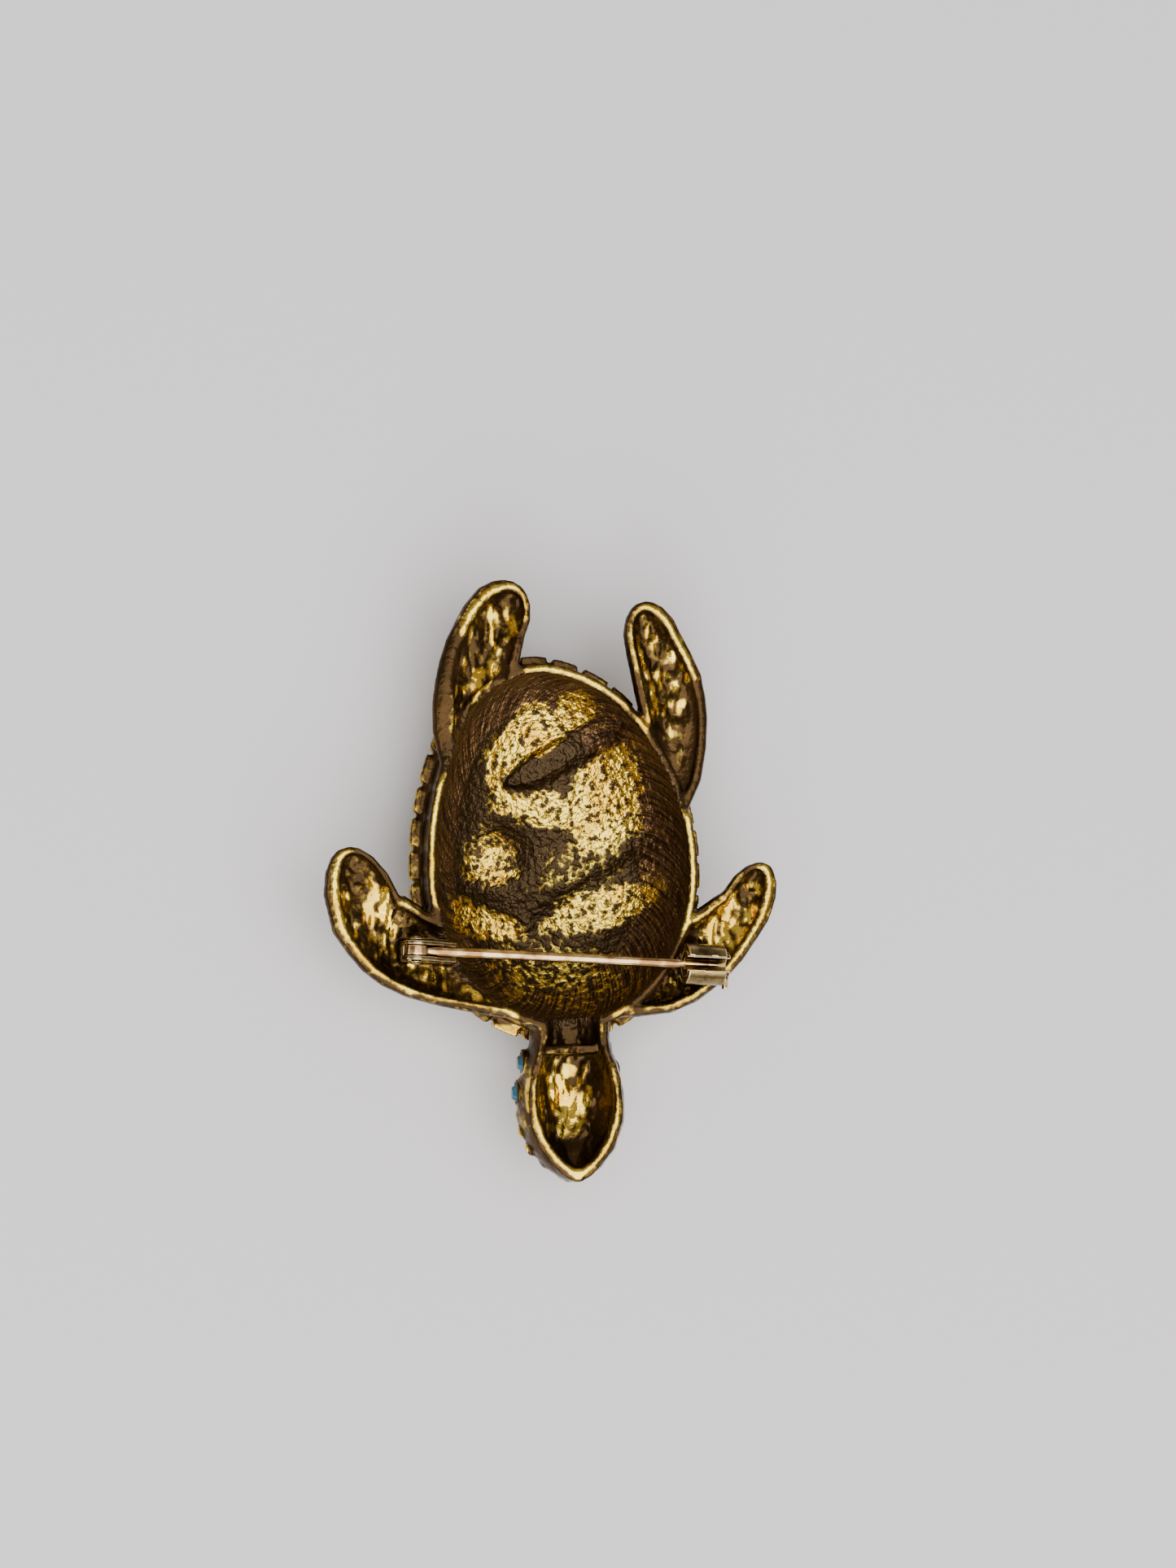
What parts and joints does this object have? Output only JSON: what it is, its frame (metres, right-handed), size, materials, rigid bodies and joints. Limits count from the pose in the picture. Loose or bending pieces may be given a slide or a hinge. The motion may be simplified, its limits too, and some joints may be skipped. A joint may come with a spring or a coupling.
{
  "type": "turtle brooch",
  "caption": "Cast gold-tone turtle brooch, hollow from behind, with a hinged pin wire, a turning safety catch and small cut stones on the head.",
  "frame": {"origin": "middle of the flat crown scute of the shell, which the brooch lies on", "axes": "-Y towards the head, +Y towards the tail, +Z out of the hollow back where the pin is, +X to the right of the back view, where the catch is"},
  "size_m": [0.0468, 0.0604, 0.0144],
  "materials": {
    "cast_metal": "gold-tone plating over cast white metal, rough cast inside, darkened in the hollows",
    "pin_metal": "gold-tone drawn wire and turned findings, lightly worn",
    "stone": "cut and polished teal glass"
  },
  "bodies": {
    "brooch": {"turtle_casting": "cast_metal", "hinge_rivet": "pin_metal", "stone_left_neck": "stone", "stone_left_cheek": "stone", "stone_right_neck": "stone", "stone_right_cheek": "stone"},
    "pin": {"pin_stem": "pin_metal"},
    "sleeve": {"catch_sleeve": "pin_metal"}
  },
  "joints": [
    {"name": "stem_hinge", "type": "hinge", "parent": "brooch", "child": "pin", "pos_m": [-0.0154, -0.01145, 0.0125], "axis": [-0.0332, -0.9995, 0], "range_deg": [0, 100]},
    {"name": "catch_lock", "type": "hinge", "parent": "brooch", "child": "sleeve", "pos_m": [0.01408, -0.01243, 0.0125], "axis": [-0.9995, 0.0332, 0], "range_deg": [0, 100]}
  ]
}
